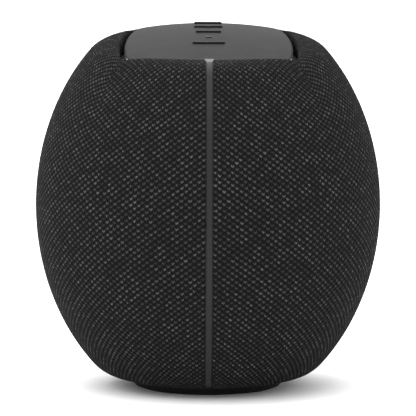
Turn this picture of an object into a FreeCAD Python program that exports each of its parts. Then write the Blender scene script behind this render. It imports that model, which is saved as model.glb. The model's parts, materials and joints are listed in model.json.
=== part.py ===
import FreeCAD, Part
import math
import os

# A portable speaker: an egg-shaped, knit-covered body with a crowned control plate in a well on top,
# two passive radiators at its sides, a woofer and a tweeter on its front baffle, and a port panel at
# its back.
# Millimetres. +Z is up, the front faces -Y, +X is to the right of someone looking at the front.
# The origin is on the surface that the speaker stands on, under the middle of the body.

V = FreeCAD.Vector
X_AXIS = V(1, 0, 0)
Y_AXIS = V(0, 1, 0)
Z_AXIS = V(0, 0, 1)

# ---- Driving dimensions -------------------------------------------------------------------------

# Body outline
body_radius = 90.8          # at the waist
waist_z = 96.5              # height of the widest place
rim_z = 183.0               # the rim round the control plate, over the body's middle
rim_tilt = 3.7              # degrees that the rim's plane rises to the back
shoulder_radius = 58.0      # where the side meets the rim's plane, before it is rounded
foot_height = 5.0           # the body's flat bottom above the floor
shoulder_round = 15.0
heel_round = 24.0

# Skins, from the outside in
skin_gap = 0.1              # between one skin and the next
fabric_thickness = 1.2
grille_wall = 2.0
bowl_wall = 2.2
bottom_hole_radius = 42.0   # in the fabric
flange_hole_radius = 36.0   # in the grille frames

# Spines that cover the seams of the two fabric halves
spine_width = 3.0
spine_proud_inset = 0.5     # the strip lies this far below the fabric's face
spine_flange_width = 12.0
spine_flange_thickness = 1.5
side_clearance = 0.15       # beside a spine, a tongue or a panel

# Control plate and the well that it sits in
plate_half_depth = 45.0
plate_half_width = 43.9
plate_front_bulge = 150.0   # radius of the front side
plate_back_bulge = 75.0
plate_side_bulge = 200.0    # radius of the left and right sides
plate_widest_y = -17.0      # the sides draw in from here to the back
plate_corner = 13.0
plate_thickness = 2.5
crown_radius = 337.0
crown_top_z = 187.3
crown_top_y = 31.5          # the crown's top is behind the middle, so the plate slopes to the front
trim_reach = 0.3            # the trim ring's wall beyond the plate's side
trim_corner = 6.0
trim_drop = 0.4             # the trim ring's face below the plate's
trim_ledge = 2.0
plate_fit = 0.12
well_reach = 3.0            # the fabric's well beyond the plate's side
well_corner = 5.0
well_bottom_z = 173.7
tongue_length = 8.0         # the trim ring's tongue over the shoulder, front and back
tongue_root_width = 5.4

# Keys
key_travel = 0.6
key_depth = 2.4
key_rise = 0.9              # above the plate
key_flange_depth = 5.0
key_flange_thickness = 1.2
key_flange_gap = 0.45       # under the plate
key_slot_gap = 0.2
key_stem_radius = 2.2
# name: (place along Y, width, whether it is bowed to the front, whether it has a finger notch)
keys = {
    "key_volume_up": (39.5, 14.4, False, False),
    "key_volume_down": (25.0, 14.8, False, True),
    "key_pairing": (9.6, 13.2, False, False),
    "key_play": (-15.9, 16.8, True, False),
}
key_bow_radius = 70.0
notch_radius = 1.3
status_lens_y = -3.6
status_lens_size = (2.8, 1.5)
status_lens_rise = 0.6

# Top chassis, key board and membrane
chassis_thickness = 2.0
chassis_reach = 8.0
chassis_post_radius = 3.5
board_thickness = 1.6
key_board_half_width = 11.0
key_board_front_y = -24.0
key_board_back_y = 41.8
membrane_thickness = 0.8
dome_radius = 3.0
dome_height = 1.1
part_gap = 0.1              # between parts that are stacked or screwed together

# Cabinet
cabinet_inset = 6.5         # its round sides, in from the body's
cabinet_wall = 3.0
baffle_thickness = 4.0
cabinet_floor_z = 36.0
cabinet_top_z = 163.0
cabinet_split_y = 44.0
rear_flat_y = 60.0
rear_boss_inset = 3.0       # of the rear cover's screws from the cabinet's inner faces
gasket_thickness = 0.8
baffle_margin = 10.4        # the front flat's half-width beyond the woofer's flange
side_margin = 14.0          # the side flats' half-width beyond a radiator's flange

# Woofer, on an axis along Y
woofer_z = 84.0
woofer_flange_radius = 44.0
woofer_flange_thickness = 3.0
woofer_screw_circle = 41.3
basket_radius = 38.2        # outside of its wall behind the flange
basket_wall = 1.8
basket_back_radius = 27.0
basket_depth = 22.0         # from the baffle's face to the basket's back
cone_radius = 31.4
cone_thickness = 0.8
pole_radius = 9.5
coil_gap = 0.6              # air between the pole and the former
former_wall = 0.4
winding_wall = 0.4
top_plate_thickness = 4.0
top_plate_radius = 26.0
magnet_radius = 29.0
magnet_thickness = 12.0
yoke_thickness = 4.0
woofer_travel = 3.0

# Tweeter, on an axis along Y
tweeter_z = 146.0
tweeter_flange_radius = 16.5
tweeter_flange_thickness = 2.0
tweeter_cup_radius = 12.0
tweeter_cup_depth = 12.0
dome_half_width = 9.5
tweeter_magnet_radius = 7.6

# Passive radiators, on axes along X
radiator_y = -4.0
radiator_z = 96.0
radiator_flange_radius = 38.0
radiator_flange_thickness = 2.5
radiator_plate_radius = 23.0
radiator_plate_thickness = 3.0
radiator_frame_bore = 30.5
radiator_travel = 3.0

# Battery, in the bowl under the cabinet
cell_radius = 9.2
cell_length = 65.0
cell_gap = 0.6
cradle_wall = 1.5
cradle_z = 12.9

# Base
base_plate_radius = 41.6
base_plate_z = 4.0
base_hub_radius = 35.6
foot_top_radius = 41.0
foot_bottom_radius = 35.5
foot_inner_radius = 20.0
bowl_top_z = 34.0
post_x = 40.0
post_y = 36.0
post_radius = 4.0

# Port panel at the back
panel_z = 68.0
panel_half_width = 23.0
panel_half_height = 16.0
panel_corner = 7.0
panel_wall = 2.0
panel_floor_y = 78.2        # the recess's floor
port_board_y = 66.0
port_board_half_width = 19.0
port_board_half_height = 12.0
button_x = -13.0
button_radius = 4.0
button_rise = 1.6
button_travel = 1.0
usb_x = 1.0
usb_width = 8.94
usb_height = 3.26
usb_wall = 0.3
aux_x = 13.0
aux_bore_radius = 1.78
aux_barrel_radius = 3.0
aux_depth = 12.0
charge_lens_radius = 1.3
charge_lens_above = 8.0     # above the panel's middle

# Main board
main_board_half_width = 32.0
main_board_bottom_z = 92.0
main_board_top_z = 140.0
main_board_y = 63.5

# Screws
screw_radius = 1.25
screw_fit = 0.05
head_radius = 2.4
small_head_radius = 2.0     # of the tweeter's and the radiators' screws
head_height = 1.6

# ---- Worked out from those ------------------------------------------------------------------------

body_half_height = (rim_z - waist_z) / math.sqrt(1 - (shoulder_radius / body_radius) ** 2)
grille_outset = fabric_thickness + skin_gap
grille_inset = grille_outset + grille_wall
bowl_inset = grille_inset + 2 * skin_gap
bowl_inner_inset = bowl_inset + bowl_wall
bowl_floor_z = foot_height + bowl_inner_inset
chassis_top_z = well_bottom_z - part_gap - skin_gap
chassis_bottom_z = chassis_top_z - chassis_thickness
key_board_z = chassis_top_z + 0.6
membrane_z = key_board_z + board_thickness + part_gap
dome_top_z = membrane_z + membrane_thickness + dome_height
key_bottom_z = dome_top_z + key_travel + 0.05
cabinet_radius = body_radius - cabinet_inset
baffle_y = -math.sqrt(cabinet_radius ** 2 - (woofer_flange_radius + baffle_margin) ** 2)
side_x = math.sqrt(cabinet_radius ** 2 - (radiator_flange_radius + side_margin) ** 2)
basket_back_y = baffle_y + basket_depth
cone_front_y = baffle_y - woofer_flange_thickness
former_inner = pole_radius + coil_gap
former_outer = former_inner + former_wall
winding_outer = former_outer + winding_wall
top_plate_bore = winding_outer + winding_wall

rim_slope = math.tan(math.radians(rim_tilt))
FAR = 3 * (body_radius + rim_z)


# ---- Small helpers --------------------------------------------------------------------------------

def box(x0, x1, y0, y1, z0, z1):
    return Part.makeBox(x1 - x0, y1 - y0, z1 - z0, V(x0, y0, z0))


def rod(radius, start, end):
    """A round rod between two points."""
    way = end - start
    return Part.makeCylinder(radius, way.Length, start, way)


def tube(outer, inner, start, end):
    return rod(outer, start, end).cut(rod(inner, start, end))


def fused(shapes):
    shape = shapes[0]
    for other in shapes[1:]:
        shape = shape.fuse(other)
    return shape.removeSplitter()


def without(shape, cutters):
    for cutter in cutters:
        shape = shape.cut(cutter)
    return shape


def spun(points, origin, axis, radial):
    """A ring or disc: a closed polygon of (radius, distance along the axis) points, turned about the axis."""
    corners = [origin + radial * r + axis * t for r, t in points]
    face = Part.Face(Part.makePolygon(corners + corners[:1]))
    return face.revolve(origin, axis, 360)


def rounded(shape, radius, wanted):
    """Rounds the edges for which wanted(edge) is true."""
    edges = [e for e in shape.Edges if wanted(e)]
    return shape.makeFillet(radius, edges) if edges else shape


def upright(edge):
    """True for a straight edge along Z."""
    ends = [v.Point for v in edge.Vertexes]
    return len(ends) == 2 and abs(ends[0].x - ends[1].x) + abs(ends[0].y - ends[1].y) < 1e-6


def rounded_panel(half_width, half_height, corner, y0, y1):
    """A rounded rectangle in the XZ plane round the port panel's middle, from y0 to y1."""
    shape = box(-half_width, half_width, y0, y1, panel_z - half_height, panel_z + half_height)
    return rounded(shape, corner, lambda e: len(e.Vertexes) == 2 and abs(e.tangentAt(0).y) > 0.99)


def screw(head_seat, way, length, head=head_radius):
    """A pan-head screw whose head stands on head_seat and whose shank runs from there along way."""
    way = V(way).normalize()
    shank = rod(screw_radius, head_seat, head_seat + way * length)
    cap = rod(head, head_seat - way * head_height, head_seat)
    cap = rounded(cap, 0.5, lambda e: e.Closed and (e.CenterOfMass - head_seat).Length > head_height * 0.9)
    socket = rod(head * 0.45, head_seat - way * (head_height + 1), head_seat - way * (head_height * 0.4))
    return fused([shank, cap]).cut(socket)


def screw_hole(head_seat, way, length):
    """What a screw's shank takes out of the parts that it runs in."""
    way = V(way).normalize()
    return rod(screw_radius + screw_fit, head_seat - way * 0.01, head_seat + way * length)


def solids_of(shape):
    return shape.Solids if shape.Solids else [shape]


os.makedirs("parts", exist_ok=True)


def save(name, *shapes):
    """Writes one sub-part. A group of separate solids is written as a compound."""
    solids = [s for shape in shapes for s in solids_of(shape)]
    whole = solids[0] if len(solids) == 1 else Part.makeCompound(solids)
    if not whole.isValid():
        raise ValueError(name + " isn't a valid shape")
    whole.exportStep(os.path.join("parts", name + ".step"))
    box_ = whole.BoundBox
    print(f"{name:24s} {len(solids):3d} solids  z {box_.ZMin:7.2f} {box_.ZMax:7.2f}  "
          f"volume {sum(s.Volume for s in solids):10.1f}")


# ---- The body's outline, at any depth below its face ----------------------------------------------

def rim_height(y):
    """Height of the rim's plane at a place."""
    return rim_z + y * rim_slope


def side_arc(a, b, top, bottom):
    """The side's ellipse, a across and b up from the waist, between two heights."""
    waist = V(0, 0, waist_z)
    turns = [math.acos(max(-1.0, min(1.0, (z - waist_z) / b))) for z in (top, bottom)]
    if b >= a:
        return Part.Ellipse(waist + V(0, 0, b), waist + V(a, 0, 0), waist).toShape(*turns)
    turns = [turn - math.pi / 2 for turn in turns]
    return Part.Ellipse(waist + V(a, 0, 0), waist - V(0, 0, b), waist).toShape(*turns)


def egg(inset):
    """The body as a solid whose face is drawn in by inset: an elliptical barrel under the tilted rim."""
    a = body_radius - inset
    b = body_half_height - inset
    top, bottom = rim_height(body_radius), foot_height + inset
    side = side_arc(a, b, top, bottom)
    high, low = side.valueAt(side.FirstParameter), side.valueAt(side.LastParameter)
    rest = Part.makePolygon([low, V(0, 0, bottom), V(0, 0, top), high])
    face = Part.Face(Part.Wire([side] + rest.Edges))
    shape = face.revolve(V(0, 0, 0), Z_AXIS, 360)
    above = box(-FAR, FAR, -FAR, FAR, rim_z - inset, FAR)
    above.rotate(V(0, 0, rim_z - inset), X_AXIS, rim_tilt)
    solid = shape.cut(above).Solids[0]
    solid = rounded(solid, shoulder_round - inset, lambda e: e.Closed and e.BoundBox.ZMin > waist_z)
    return rounded(solid, heel_round - inset, lambda e: e.Closed and abs(e.BoundBox.ZMax - bottom) < 1e-4)


def plate_prism(grow, corner, z0, z1):
    """The control plate's outline, grown on all sides: four bulged sides with round corners."""
    def side(radius, x, y):
        return Part.makeCylinder(radius + grow, z1 - z0, V(x, y, z0))
    left_and_right = plate_side_bulge - plate_half_width
    shape = side(plate_front_bulge, 0, plate_front_bulge - plate_half_depth)
    shape = shape.common(side(plate_back_bulge, 0, plate_half_depth - plate_back_bulge))
    shape = shape.common(side(plate_side_bulge, left_and_right, plate_widest_y))
    shape = shape.common(side(plate_side_bulge, -left_and_right, plate_widest_y))
    return rounded(shape, corner, upright)


def crown(drop):
    """The ball whose top is the plate's face, lowered by drop."""
    return Part.makeSphere(crown_radius - drop, V(0, crown_top_y, crown_top_z - crown_radius))


def crown_z(x, y, drop=0.0):
    """Height of that face at a place."""
    out = x ** 2 + (y - crown_top_y) ** 2
    return crown_top_z - crown_radius + math.sqrt((crown_radius - drop) ** 2 - out)


def welled_egg(inset):
    """The egg with the well for the control plate, whose wall moves out as the face moves in."""
    well = plate_prism(well_reach + inset, well_corner + inset, cabinet_top_z - 20, rim_z + 10)
    return egg(inset).cut(well)


def skin(outer_inset, inner_inset, hole_radius):
    """A shell of the body with the well's wall, open below the well and round the base."""
    shape = welled_egg(outer_inset).cut(welled_egg(inner_inset))
    below = plate_prism(well_reach + inner_inset + 0.02, well_corner + inner_inset,
                        cabinet_top_z - 21, well_bottom_z)
    hole = rod(hole_radius, V(0, 0, -5), V(0, 0, cabinet_floor_z))
    return without(shape, [below, hole])


def tongue_wedge(grow, sign):
    """The trim ring's tongue seen from above: it narrows from the ring to the spine's width."""
    y0 = sign * (plate_half_depth + trim_reach - 0.3)
    y1 = sign * (plate_half_depth + trim_reach + tongue_length + grow)
    root, tip = tongue_root_width / 2 + grow, spine_width / 2 + grow
    z = rim_z - 15
    corners = [V(-root, y0, z), V(root, y0, z), V(tip, y1, z), V(-tip, y1, z)]
    return Part.Face(Part.makePolygon(corners + corners[:1])).extrude(V(0, 0, 30))


def seam_cutter():
    """What is taken out of the fabric and grille halves: the seam, two tongues and the panel's window."""
    half = spine_width / 2 + side_clearance
    seam = box(-half, half, -FAR, FAR, -FAR, FAR)
    window = rounded_panel(panel_half_width + side_clearance, panel_half_height + side_clearance,
                           panel_corner + side_clearance, cabinet_split_y, FAR)
    return fused([seam, tongue_wedge(side_clearance, -1), tongue_wedge(side_clearance, 1), window])


# ---- Skins ----------------------------------------------------------------------------------------

def halves(shape):
    """The left (-X) and right (+X) halves of a shape."""
    left = box(-FAR, 0, -FAR, FAR, -FAR, FAR)
    right = box(0, FAR, -FAR, FAR, -FAR, FAR)
    return shape.common(left), shape.common(right)


def grille_windows():
    """Slots through the grille frames, in rows that leave ribs between them."""
    cutters = []
    rows = 6
    low, high = foot_height + 24, rim_z - 32
    pitch = (high - low) / rows
    for row in range(rows):
        z0 = low + row * pitch + 2.0
        z1 = low + (row + 1) * pitch - 2.0
        for step in range(9):
            angle = math.radians(-80 + 20 * step)
            for sign in (-1, 1):
                centre_way = V(sign * math.cos(angle), math.sin(angle), 0)
                slot = box(body_radius * 0.5, body_radius + 5, -8.5, 8.5, z0, z1)
                turn = FreeCAD.Rotation(X_AXIS, centre_way)
                slot.Placement = FreeCAD.Placement(V(0, 0, 0), turn)
                clear_of_seam = abs(centre_way.x) * body_radius > 22
                clear_of_panel = centre_way.y < 0.6 or z0 > panel_z + panel_half_height + 3
                if clear_of_seam and clear_of_panel:
                    cutters.append(slot)
    return Part.makeCompound(cutters)


def make_skins():
    cutter = seam_cutter()
    fabric = skin(0, fabric_thickness, bottom_hole_radius).cut(cutter)
    for name, half in zip(("fabric_left", "fabric_right"), halves(fabric)):
        save(name, half)
    frame = skin(grille_outset, grille_inset, flange_hole_radius).cut(cutter).cut(grille_windows())
    for name, half in zip(("grille_frame_left", "grille_frame_right"), halves(frame)):
        save(name, half)


def make_spines():
    """The front spine is one piece. The rear one is in two, above and below the port panel."""
    strip_shell = egg(spine_proud_inset).cut(egg(grille_inset))
    web_shell = egg(grille_inset - 0.5).cut(egg(grille_inset + skin_gap + 0.5))
    flange_shell = egg(grille_inset + skin_gap).cut(egg(grille_inset + skin_gap + spine_flange_thickness))
    half, flange_half = spine_width / 2, spine_flange_width / 2
    top_y = plate_half_depth + trim_reach + tongue_length + side_clearance
    bottom_y = bottom_hole_radius + side_clearance
    panel_low = panel_z - panel_half_height - side_clearance
    panel_high = panel_z + panel_half_height + side_clearance
    for name, sign, low, high in (("front_spine", -1, 0, FAR), ("rear_spine_upper", 1, panel_high, FAR),
                                  ("rear_spine_lower", 1, 0, panel_low)):
        reach = [sorted((sign * y, sign * FAR)) for y in (bottom_y, top_y)]
        flange_low = max(bowl_top_z + 1, low + 2)
        flange_high = min(chassis_bottom_z - 1, high - 2)
        pieces = []
        for (y0, y1), z0, z1 in ((reach[0], low, waist_z), (reach[1], waist_z, high)):
            z0, z1 = max(z0, low), min(z1, high)
            if z0 < z1:
                pieces.append(strip_shell.common(box(-half, half, y0, y1, z0, z1)))
        y0, y1 = reach[0]
        pieces.append(web_shell.common(box(-half, half, y0, y1, flange_low, flange_high)))
        pieces.append(flange_shell.common(box(-flange_half, flange_half, y0, y1, flange_low, flange_high)))
        save(name, fused(pieces))


# ---- Control plate, keys and what carries them -----------------------------------------------------

def key_prism(name, grow, z0, z1):
    """A key's outline seen from above, grown on all sides."""
    y, width, bowed, notched = keys[name]
    half = width / 2 + grow
    depth = key_depth / 2 + grow
    if bowed:
        centre = V(0, y + key_bow_radius, z0)
        ring = Part.makeCylinder(key_bow_radius + depth, z1 - z0, centre)
        ring = ring.cut(Part.makeCylinder(key_bow_radius - depth, z1 - z0, centre))
        shape = ring.common(box(-half, half, y - 2 * key_depth, y + 2 * key_depth, z0, z1))
    else:
        shape = box(-half, half, y - depth, y + depth, z0, z1)
    shape = rounded(shape, 0.8, upright)
    if notched:
        front = Part.makeCylinder(notch_radius + grow, z1 - z0, V(0, y - key_depth / 2, z0))
        back = Part.makeCylinder(notch_radius - grow, z1 - z0, V(0, y + key_depth / 2, z0))
        shape = shape.fuse(front).cut(back).removeSplitter()
    return shape


def lens_prism(grow, z0, z1):
    width, depth = status_lens_size
    y = status_lens_y
    shape = box(-width / 2 - grow, width / 2 + grow, y - depth / 2 - grow, y + depth / 2 + grow, z0, z1)
    return rounded(shape, 0.5, upright)


def boss_places():
    """Where the plate's four screw bosses stand."""
    return [(x, y) for y, reach in ((-28.0, 30.0), (31.0, 28.0)) for x in (-reach, reach)]


def chassis_post_places():
    return [(x, y) for y, reach in ((-16.0, 37.0), (17.0, 35.0)) for x in (-reach, reach)]


def make_control_plate():
    low = crown_top_z - 20
    plate = plate_prism(0, plate_corner, low, crown_top_z + 1).common(crown(0))
    lowest = crown_z(plate_half_width + 6, -plate_half_depth) - 2
    plate = rounded(plate, 0.9, lambda e: e.BoundBox.ZMin > lowest)
    plate = plate.cut(crown(plate_thickness))
    boss_bottom = chassis_top_z + part_gap
    for x, y in boss_places():
        top = crown_z(x, y, plate_thickness) + 1
        plate = plate.fuse(rod(3.0, V(x, y, boss_bottom), V(x, y, top)))
        plate = plate.cut(rod(screw_radius + screw_fit, V(x, y, boss_bottom - 1), V(x, y, boss_bottom + 5.2)))
    slots = [key_prism(name, key_slot_gap, low, crown_top_z + 1) for name in keys]
    slots.append(lens_prism(key_slot_gap / 2, low, crown_top_z + 1))
    save("control_plate", without(plate, slots))


def make_trim_ring():
    outside = plate_prism(trim_reach, trim_corner, well_bottom_z, crown_top_z + 1)
    ring = outside.common(crown(trim_drop))
    lowest = crown_z(plate_half_width + trim_reach, -plate_half_depth, trim_drop) - 2
    ring = rounded(ring, 0.5, lambda e: e.BoundBox.ZMin > lowest)
    seat = plate_prism(plate_fit, plate_corner + plate_fit, well_bottom_z - 1, crown_top_z + 1)
    seat = seat.cut(crown(plate_thickness + part_gap))
    inside = plate_prism(-trim_ledge, plate_corner - trim_ledge, well_bottom_z - 1, crown_top_z + 1)
    ring = without(ring, [seat, inside])
    shell = egg(spine_proud_inset).cut(egg(grille_inset - 0.6))
    tongues = [shell.common(tongue_wedge(0, sign)) for sign in (-1, 1)]
    necks = []
    for sign in (-1, 1):
        wall_y = plate_half_depth + trim_reach
        y0, y1 = sorted((sign * (wall_y - 0.8), sign * (wall_y + 1)))
        face_z = rim_height(sign * wall_y)
        necks.append(box(-tongue_root_width / 2, tongue_root_width / 2, y0, y1,
                         face_z - grille_inset + 0.6, face_z - spine_proud_inset))
    outside_only = plate_prism(plate_fit, plate_corner + plate_fit, well_bottom_z, crown_top_z + 9)
    added = [piece.cut(outside_only) for piece in tongues + necks]
    save("trim_ring", fused([ring] + added))


def make_keys():
    for name, (y, width, bowed, notched) in keys.items():
        face = crown_z(0, y) + key_rise
        flange_top = crown_z(width / 2, y, plate_thickness) - key_flange_gap
        flange_bottom = flange_top - key_flange_thickness
        bar = key_prism(name, 0, flange_bottom, face)
        bar = rounded(bar, 0.35, lambda e: e.BoundBox.ZMin > face - 1e-4)
        reach = width / 2 + 1.2
        front, back = y - key_flange_depth / 2, y + key_flange_depth / 2
        flange = box(-reach, reach, front, back, flange_bottom, flange_top)
        flange = rounded(flange, 1.5, upright)
        stem = rod(key_stem_radius, V(0, y, key_bottom_z), V(0, y, flange_bottom + 0.2))
        save(name, fused([bar, flange, stem]))
    y = status_lens_y
    top = crown_z(0, y) + status_lens_rise
    body = lens_prism(0, membrane_z + membrane_thickness + part_gap, top - 0.35)
    pips = [rod(0.55, V(x, y, top - 1), V(x, y, top)) for x in (-0.75, 0.75)]
    save("status_lens", fused([body] + pips))


def make_chassis():
    flange = plate_prism(chassis_reach, plate_corner + chassis_reach, chassis_bottom_z, chassis_top_z)
    flange = flange.common(egg(bowl_inset))
    posts, holes, screws = [], [], []
    for x, y in chassis_post_places():
        low, seat = V(x, y, cabinet_top_z + part_gap), V(x, y, chassis_top_z)
        posts.append(rod(chassis_post_radius, low, V(x, y, chassis_bottom_z + 0.5)))
        length = chassis_top_z - cabinet_top_z + 8
        holes.append(screw_hole(seat, -Z_AXIS, length))
        screws.append(screw(seat, -Z_AXIS, length))
    pad = box(-key_board_half_width + 2, key_board_half_width - 2,
              key_board_front_y + 2, key_board_back_y - 2, chassis_top_z - 0.5, key_board_z - 0.02)
    plate_screws = []
    for x, y in boss_places():
        seat = V(x, y, chassis_bottom_z)
        holes.append(screw_hole(seat, Z_AXIS, chassis_thickness + 1))
        plate_screws.append(screw(seat, Z_AXIS, chassis_thickness + part_gap + 4.8))
    slot = box(-5, 5, 28, 31, chassis_bottom_z - 1, key_board_z + 1)
    save("top_chassis", without(fused([flange, pad] + posts), holes + [slot]))
    save("chassis_screws", *screws, *plate_screws)

    board = box(-key_board_half_width, key_board_half_width, key_board_front_y, key_board_back_y,
                key_board_z, key_board_z + board_thickness)
    save("key_board", rounded(board, 2.0, upright))
    sheet = box(-key_board_half_width + 1, key_board_half_width - 1,
                key_board_front_y + 1, key_board_back_y - 0.6, membrane_z, membrane_z + membrane_thickness)
    sheet = rounded(sheet, 2.0, upright)
    domes = [Part.makeCone(dome_radius, dome_radius - 0.8, dome_height + 0.2,
                           V(0, y, membrane_z + membrane_thickness - 0.2)) for y, _, _, _ in keys.values()]
    save("key_membrane", fused([sheet] + domes))


# ---- Base -----------------------------------------------------------------------------------------

def post_places():
    return [(x, y) for x in (-post_x, post_x) for y in (-post_y, post_y)]


def base_screw_places():
    return [(x, y) for x in (-10.6, 10.6) for y in (-10.6, 10.6)]


def make_base():
    slab = box(-FAR, FAR, -FAR, FAR, 0, bowl_top_z)
    posts = [rod(post_radius, V(x, y, 0), V(x, y, bowl_top_z + 5)) for x, y in post_places()]
    bosses = [rod(3.5, V(x, y, 0), V(x, y, cradle_z - part_gap)) for x, y in base_screw_places()]
    bowl = egg(bowl_inset).common(slab).cut(without(egg(bowl_inner_inset), posts + bosses))
    pads = [rod(post_radius, V(x, y, bowl_top_z - 3), V(x, y, cabinet_floor_z - part_gap))
            for x, y in post_places()]
    holes, cabinet_screws = [], []
    head_seat_z = foot_height + bowl_inset + 8
    for x, y in post_places():
        seat = V(x, y, head_seat_z)
        length = cabinet_floor_z - head_seat_z + 6
        holes.append(rod(head_radius + 0.2, V(x, y, 0), seat))
        holes.append(screw_hole(seat, Z_AXIS, length))
        cabinet_screws.append(screw(seat, Z_AXIS, length))
    base_screws = []
    seat_z = base_plate_z + head_height + 0.3
    for x, y in base_screw_places():
        base_screws.append(screw(V(x, y, seat_z), Z_AXIS, cradle_z - seat_z - 0.6))
        holes.append(screw_hole(V(x, y, seat_z), Z_AXIS, cradle_z - seat_z + 1))
    save("base_bowl", without(fused([bowl] + pads), holes))
    save("base_screws", *base_screws, *cabinet_screws)

    disc = rod(base_plate_radius, V(0, 0, base_plate_z), V(0, 0, foot_height + grille_outset - skin_gap))
    hub = rod(base_hub_radius, V(0, 0, base_plate_z + 1), V(0, 0, foot_height + bowl_inset - skin_gap))
    plate_holes = [screw_hole(V(x, y, seat_z), Z_AXIS, 10) for x, y in base_screw_places()]
    plate_holes += [rod(head_radius + 0.2, V(x, y, 0), V(x, y, seat_z)) for x, y in base_screw_places()]
    plate = fused([disc, hub])
    plate = rounded(plate, 0.6, lambda e: e.Closed and abs(e.BoundBox.ZMax - base_plate_z) < 1e-6)
    save("base_plate", without(plate, plate_holes))

    top = base_plate_z - 0.02
    foot = spun([(foot_inner_radius, 0), (foot_bottom_radius, 0), (foot_bottom_radius + 2.6, 0.9),
                 (foot_top_radius, top), (foot_inner_radius - 1.5, top)], V(0, 0, 0), Z_AXIS, X_AXIS)
    save("rubber_foot", foot)


def make_battery():
    pitch = 2 * cell_radius + cell_gap
    floor_top = cradle_z + cradle_wall
    half_x = cell_length / 2 + cell_gap + cradle_wall
    half_y = 1.5 * pitch + cradle_wall
    tray = box(-half_x, half_x, -half_y, half_y, cradle_z, floor_top + cell_radius)
    tray = rounded(tray, 2.0, upright)
    hollow = box(-half_x + cradle_wall, half_x - cradle_wall, -half_y + cradle_wall, half_y - cradle_wall,
                 floor_top, floor_top + 2 * cell_radius)
    ribs = [box(-6, 6, y - cell_gap / 2 + 0.05, y + cell_gap / 2 - 0.05, floor_top - 0.5, floor_top + cell_radius - 1)
            for y in (-pitch / 2, pitch / 2)]
    save("battery_cradle", fused([tray.cut(hollow)] + ribs))
    z = floor_top + cell_radius + part_gap
    cells = []
    for y in (-pitch, 0, pitch):
        cell = rod(cell_radius, V(-cell_length / 2, y, z), V(cell_length / 2 - 1.2, y, z))
        cell = rounded(cell, 0.8, lambda e: e.Closed)
        cells.append(fused([cell, rod(3.2, V(cell_length / 2 - 2, y, z), V(cell_length / 2, y, z))]))
    save("battery_cells", *cells)


# ---- Cabinet --------------------------------------------------------------------------------------

def cabinet_solid(wall, y0, y1):
    """The cabinet's outer shape drawn in by wall, from y0 to y1."""
    inset = cabinet_inset + wall
    a, b = body_radius - inset, body_half_height - inset
    side = side_arc(a, b, waist_z + b, waist_z - b)
    face = Part.Face(Part.Wire([side, Part.makeLine(V(0, 0, waist_z - b), V(0, 0, waist_z + b))]))
    shape = face.revolve(V(0, 0, 0), Z_AXIS, 360)
    solid = shape.Solids[0] if shape.Solids else Part.Solid(shape)
    low, high = cabinet_floor_z + wall, cabinet_top_z - wall
    return solid.common(box(-side_x + wall, side_x - wall, y0, y1, low, high))


def rear_boss_places():
    """Where the rear cover is screwed to the cabinet, as (x, z)."""
    low = cabinet_floor_z + cabinet_wall + rear_boss_inset
    high = cabinet_top_z - cabinet_wall - rear_boss_inset
    wide = side_x - cabinet_wall - rear_boss_inset
    return [(x, z) for z, reach in ((low, 26.0), (waist_z, wide), (high, 20.0)) for x in (-reach, reach)]


def ring_places(count, radius, start=0.0):
    """count places on a circle, as (across, up)."""
    angles = [start + 2 * math.pi * k / count for k in range(count)]
    return [(radius * math.cos(a), radius * math.sin(a)) for a in angles]


def woofer_screw_places():
    return [(x, woofer_z + z) for x, z in ring_places(4, woofer_screw_circle, math.pi / 4)]


def tweeter_screw_places():
    return [(x, tweeter_z + z) for x, z in ring_places(3, tweeter_flange_radius - 2.3, -math.pi / 2)]


def radiator_screw_places():
    places = ring_places(4, radiator_flange_radius - 2.8, math.pi / 4)
    return [(radiator_y + y, radiator_z + z) for y, z in places]


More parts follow.
